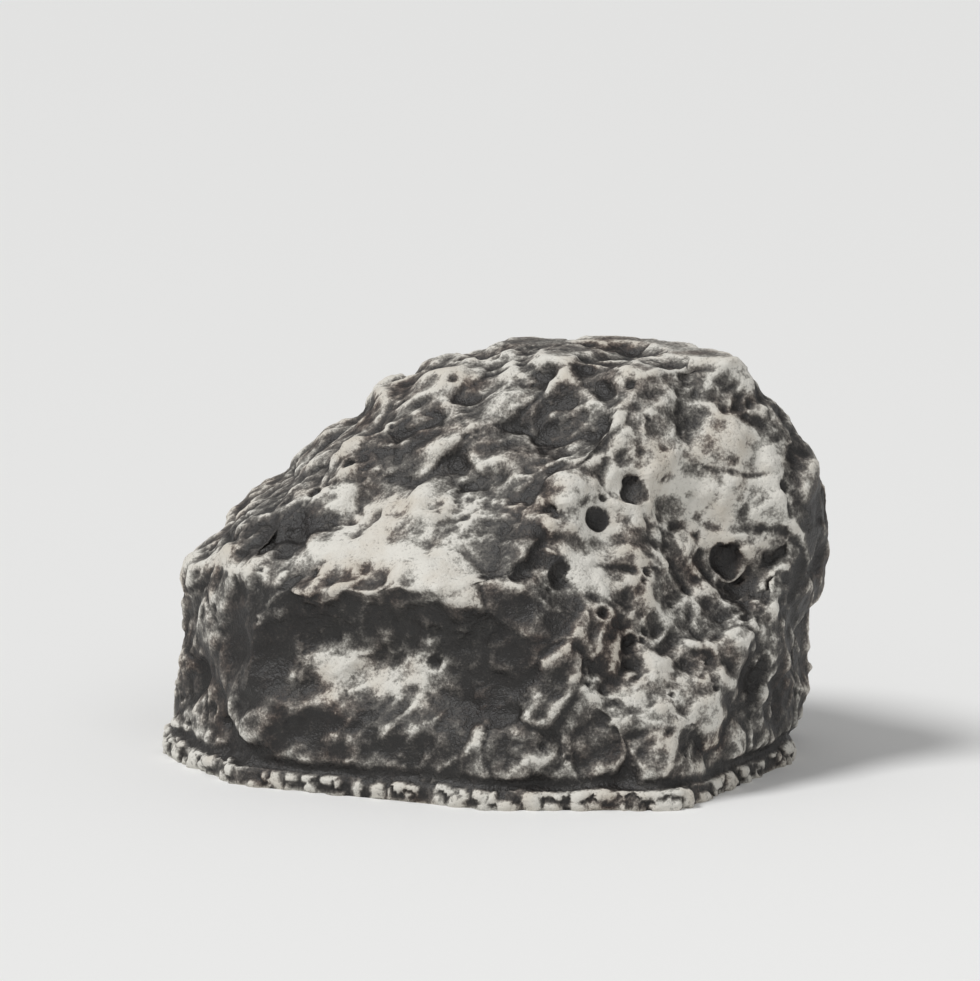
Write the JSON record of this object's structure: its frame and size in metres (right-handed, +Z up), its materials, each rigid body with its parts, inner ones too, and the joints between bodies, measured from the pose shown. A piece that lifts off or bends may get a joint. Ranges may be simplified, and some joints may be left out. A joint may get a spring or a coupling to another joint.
{
  "type": "hide a key rock",
  "caption": "Cast resin boulder with a flat base. A clear plug-in tray in its underside hides keys; the boulder lifts off the tray.",
  "frame": {"origin": "centre of the boulder's bounding box, on the ground it stands on", "axes": "+Z up; +X along the boulder's length, towards its overhanging end; -Y is the front, with the shelf and the cove"},
  "size_m": [0.086, 0.071, 0.055],
  "materials": {
    "cast_resin": "matte",
    "clear_plastic": "gloss"
  },
  "bodies": {
    "tray": {"key_tray": "clear_plastic"},
    "boulder": {"rock_body": "cast_resin"}
  },
  "joints": [
    {"name": "rock_lift_off", "type": "slide", "parent": "tray", "child": "boulder", "axis": [0, 0, 1], "range_m": [0, 0.028]}
  ]
}
